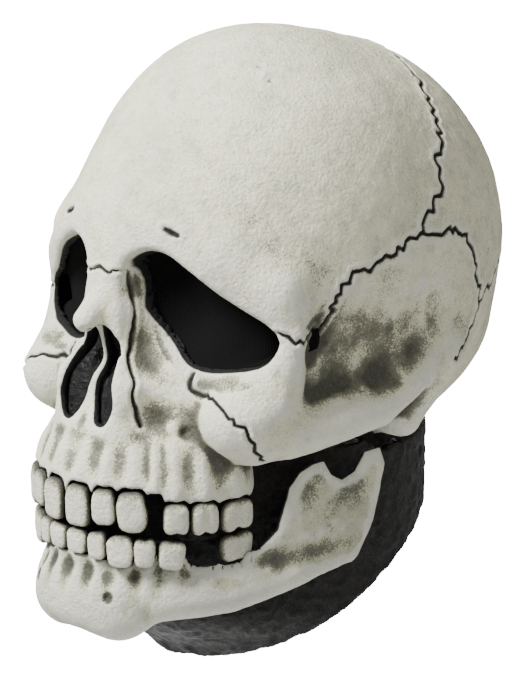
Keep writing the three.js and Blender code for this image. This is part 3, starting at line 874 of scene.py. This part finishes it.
def make_tooth(name, side, tooth, size, lower, seed):
    kind, distance, width, top, bottom, lean = tooth
    work = bmesh.new()
    bmesh.ops.create_cube(work, size=2)
    bmesh.ops.subdivide_edges(work, edges=work.edges, cuts=CROWN_CUTS, use_grid_fill=True)
    u = np.array([v.co.normalized() for v in work.verts])
    shape, v = crown_shape(kind, u * (1, 1, -1 if lower else 1))
    shape = shape * (1, 1, -1 if lower else 1)
    half = np.array([width / 2 + CROWN_SPREAD, TOOTH_DEPTH / 2, (top - bottom) / 2])
    p = shape * half
    rough = 0.30 * grain(p + 40 * seed, 3.2, 61) + 0.12 * grain(p + 40 * seed, 1.3, 62)
    p = p + u * rough[:, None]
    angle = math.radians(side * lean)
    c, s = math.cos(angle), math.sin(angle)
    p = np.stack([p[:, 0] * c - p[:, 2] * s, p[:, 1] + half[1], p[:, 2] * c + p[:, 0] * s], -1)
    x, y, turn = arch_point(distance, size)
    c, s = math.cos(side * turn), math.sin(side * turn)
    across = p[:, 0] * c - p[:, 1] * s + side * x
    ahead = p[:, 1] * c + p[:, 0] * s + y
    p = np.stack([across, ahead, p[:, 2] + (top + bottom) / 2], -1)
    for vert, co in zip(work.verts, p):
        vert.co = co
    mesh = bpy.data.meshes.new(name)
    work.to_mesh(mesh)
    work.free()
    piece = linked(name, mesh)
    # Painted shade on the sides and neck of each crown, partly the mask's dark paint between the teeth, and a
    # painted highlight in the middle of its face.
    sides = ramp(v[:, 1], -0.9, -0.25)
    neck = ramp(v[:, 2] * (-1 if lower else 1), 0.55, 1.0)
    paint(piece, "wash_and_shade", np.clip(0.8 * sides + 0.35 * neck + 0.08, 0, 1))
    paint(piece, "black", ramp(v[:, 1], -0.35, 0.15))
    paint(piece, "crack", np.full(len(p), FAR))
    paint(piece, "edge", np.clip(0.5 - 2 * sides - neck, 0, 1))
    return piece


def make_teeth(jaw, table, size, body, material):
    for side_name, side in (("left", 1), ("right", -1)):
        for number, tooth in enumerate(table):
            node = f"tooth_{jaw}_{side_name}_{tooth[0]}"
            if node not in LOST:
                seed = number + 8 * (side < 0)
                piece = make_tooth(f"{node}_crown", side, tooth, size, jaw == "lower", seed)
                finish_piece(piece, material, body, node)


# ------------------------------------------------------------------ cloth and lining

CLOTH_DEPTH = SKIN + 1.1  # middle of the cloth below the outer surface
CLOTH_LAP = 3.6  # glued margin round the eye hole
CLOTH_RINGS = 16
CLOTH_ROUNDS = 6  # rounds of averaging that pull the cloth tight


def face_depth(x, z, depth):
    """The Y that lies the given depth below the face's surface, for arrays of x and z."""
    low, high = np.full(len(x), -135.0), np.full(len(x), -45.0)
    for _ in range(24):
        middle = (low + high) / 2
        outside = skull_field(np.stack([np.abs(x), middle, z], -1).astype(np.float32)) + depth > 0
        low, high = np.where(outside, middle, low), np.where(outside, high, middle)
    return (low + high) / 2


def make_eye_cloth(name, side, material):
    """A disc of cloth in rings, pressed to the inside of the face round the eye hole."""
    outline = np.array(EYE_CURVE)
    middle = outline.mean(0)
    away = outline - middle
    away = away * (1 + CLOTH_LAP / np.linalg.norm(away, axis=1))[:, None]
    shares = np.arange(1, CLOTH_RINGS + 1) / CLOTH_RINGS
    flat = np.concatenate([[middle]] + [middle + away * share for share in shares])
    y = face_depth(flat[:, 0], flat[:, 1], CLOTH_DEPTH)
    points = np.stack([side * flat[:, 0], y, flat[:, 1]], -1)
    n = len(outline)
    mesh = bpy.data.meshes.new(name)
    faces = [[0, 1 + (i + 1) % n, 1 + i] for i in range(n)]
    for ring in range(CLOTH_RINGS - 1):
        a = 1 + ring * n
        faces += [[a + i, a + (i + 1) % n, a + n + (i + 1) % n, a + n + i] for i in range(n)]
    if side > 0:
        faces = [face[::-1] for face in faces]
    mesh.from_pydata([tuple(p) for p in points], [], faces)
    piece = linked(name, mesh)
    mean = neighbours_mean(piece, points, CLOTH_ROUNDS)
    inner = np.arange(len(points)) < len(points) - n
    points[inner] = mean[inner]
    write_points(piece, points)
    finish_piece(piece, material, "skull", f"eye_mesh_{'left' if side > 0 else 'right'}")


LINING = [(8, -12), (13, -32), (18.5, -50), (18.5, -64)]  # one side of the pocket, seen from the front
LINING_NEAR = 0.7  # front and rear faces of the pocket, below the inside of the skin
LINING_FAR = 2.7
LINING_BACK = 82  # the pocket is kept forward of this


def lining_solid(p):
    q = folded(p)
    d = skull_field(q)
    pocket = np.maximum(d + SKIN + LINING_NEAR, -(d + SKIN + LINING_FAR))
    outline = LINING + [(-x, z) for x, z in reversed(LINING)]
    inside = near_outline(q[:, 0], q[:, 2], outline, RIM_REACH)
    return np.maximum(np.maximum(pocket, inside), q[:, 1] + LINING_BACK)


# ------------------------------------------------------------------ pieces


def finish_piece(piece, material, body, node):
    write_points(piece, read_points(piece) * MM)
    piece.data.polygons.foreach_set("use_smooth", np.ones(len(piece.data.polygons), bool))
    piece.data.materials.clear()
    piece.data.materials.append(material)
    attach(piece, body)
    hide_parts(node)


def make_shells(skull_material, jaw_material, neck_material, pocket_material):
    cranium = grow("cranium_shell", cranium_solid, (-96, -136, -102), (96, 134, 114), GRID)
    apply_relief(cranium, skull_relief)
    finish_piece(cranium, skull_material, "skull", "cranium_skin")
    mandible = grow("mandible_shell", mandible_solid, (-84, -142, -168), (84, 6, -70), GRID)
    apply_relief(mandible, jaw_relief)
    finish_piece(mandible, jaw_material, "jaw", "mandible_skin")
    neck = grow("neck_shell", neck_solid, (-70, -126, -190), (70, 96, -62), GRID)
    crumple(neck)
    finish_piece(neck, neck_material, "skull", "neck_skin")
    pocket = grow("nose_pocket", lining_solid, (-24, -124, -70), (24, -78, -6), GRID * 0.5)
    finish_piece(pocket, pocket_material, "skull", "nose_lining")


# ------------------------------------------------------------------ camera, lights and floor


PICTURE_HEIGHT = 682
FOCAL_LENGTH = 3010.0  # in pixels of the picture
SENSOR = 36  # camera sensor height, millimetres
CAMERA_AWAY = 1400.0
CAMERA_TURN = 45  # degrees round from the front, to the wearer's left
CAMERA_RISE = 14.5
SKY_LIGHT = 0.34  # strength of the surroundings as a light
SKY_SEEN = 20.0  # and as the camera sees them, for a pure white background
FLOOR_SIZE = 1.1
FLOOR_HEIGHT = -0.6


def look_camera():
    """The view from the wearer's left front, a little above."""
    turn, rise = math.radians(CAMERA_TURN), math.radians(CAMERA_RISE)
    back = np.array([math.sin(turn) * math.cos(rise), -math.cos(turn) * math.cos(rise), math.sin(rise)])
    right = np.array([math.cos(turn), math.sin(turn), 0])
    up = np.cross(back, right)
    aim_right, aim_up = -3.5, -42.3
    place = back * CAMERA_AWAY + right * aim_right + up * aim_up
    camera = bpy.data.cameras.new("camera")
    camera.sensor_fit = "VERTICAL"
    camera.sensor_height = SENSOR
    camera.lens = FOCAL_LENGTH / PICTURE_HEIGHT * SENSOR
    holder = linked("camera", camera)
    turned = Matrix(np.stack([right, up, back], 1).tolist()).to_4x4()
    holder.matrix_world = Matrix.Translation(Vector(place * MM)) @ turned
    bpy.context.scene.camera = holder


def area_light(name, where, size, power):
    light = bpy.data.lights.new(name, "AREA")
    light.energy = power
    light.size = size
    holder = linked(name, light)
    holder.location = where
    holder.rotation_euler = (Vector((0, 0, -0.03)) - Vector(where)).to_track_quat("-Z", "Y").to_euler()


def studio():
    area_light("key", (-0.45, -1.25, 1.35), 0.6, 100)
    area_light("fill", (1.7, -0.5, 0.7), 1.2, 9)
    world = bpy.data.worlds.new("studio")
    bpy.context.scene.world = world
    world.use_nodes = True
    tree = world.node_tree
    sky = tree.nodes["Background"]
    sky.inputs[0].default_value = (1, 1, 1, 1)
    seen = tree.nodes.new("ShaderNodeMapRange")
    seen.inputs["To Min"].default_value = SKY_LIGHT
    seen.inputs["To Max"].default_value = SKY_SEEN
    tree.links.new(tree.nodes.new("ShaderNodeLightPath").outputs["Is Camera Ray"], seen.inputs[0])
    tree.links.new(seen.outputs[0], sky.inputs[1])
    bpy.ops.mesh.primitive_plane_add(size=FLOOR_SIZE, location=(0, 0, FLOOR_HEIGHT))
    floor = bpy.context.object
    floor.name = "floor"
    floor.data.materials.append(floor_material("floor"))


# ------------------------------------------------------------------ build

look_camera()
bone_paint = bone_material("painted_bone", (0.95, 0.93, 0.66), (0.78, 0.77, 0.54), (0.06, 0.06, 0.048))
tooth_paint = bone_material("painted_teeth", (0.86, 0.84, 0.61), (0.68, 0.67, 0.48), (0.06, 0.058, 0.043))
# A darker copy of the bone paint for the jaw: partly its own olive grey tone, partly painted shade of its
# underside.
jaw_paint_with_shade = bone_material("jaw_paint_and_painted_shade", (0.72, 0.715, 0.50), (0.47, 0.475, 0.33), (0.045, 0.045, 0.036))
rubber = rubber_material("black_latex", (0.003, 0.0025, 0.0016), (0.014, 0.011, 0.007))
lining = rubber_material("nose_black", (0.002, 0.002, 0.002), (0.006, 0.006, 0.005))
cloth = cloth_material("black_cloth")
make_shells(bone_paint, jaw_paint_with_shade, rubber, lining)
make_teeth("upper", UPPER_TEETH, UPPER_SIZE, "skull", tooth_paint)
make_teeth("lower", LOWER_TEETH, LOWER_SIZE, "jaw", tooth_paint)
make_eye_cloth("eye_cloth_left", 1, cloth)
make_eye_cloth("eye_cloth_right", -1, cloth)
studio()
